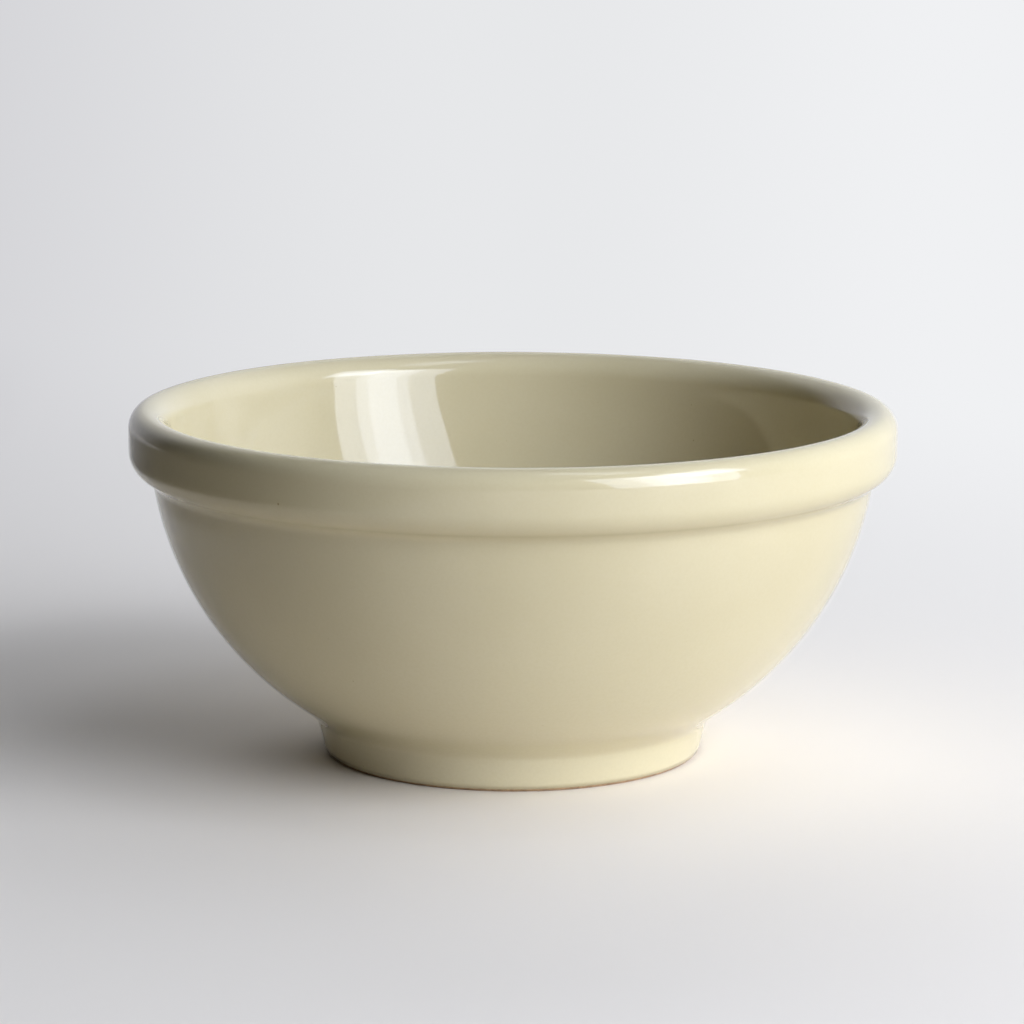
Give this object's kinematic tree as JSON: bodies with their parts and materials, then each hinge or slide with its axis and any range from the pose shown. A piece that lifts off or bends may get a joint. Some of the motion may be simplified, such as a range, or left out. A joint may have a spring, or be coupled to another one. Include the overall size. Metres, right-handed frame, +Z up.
{
  "type": "cereal bowl",
  "caption": "Round glazed stoneware cereal bowl with a thick rolled rim band, a deep rounded body and a low foot ring with a recessed underside.",
  "frame": {"origin": "centre of the foot ring, on the surface that the bowl stands on", "axes": "+Z up along the bowl's axis of revolution; X and Y are alike"},
  "size_m": [0.16, 0.16, 0.073],
  "materials": {
    "fired_clay": "bare fired stoneware, matt, warm buff",
    "cream_glaze": "smooth glossy cream glaze with faint specks"
  },
  "bodies": {
    "root": {"clay_body": "fired_clay", "glaze_coat": "cream_glaze", "foot_well_glaze": "cream_glaze"}
  },
  "joints": []
}
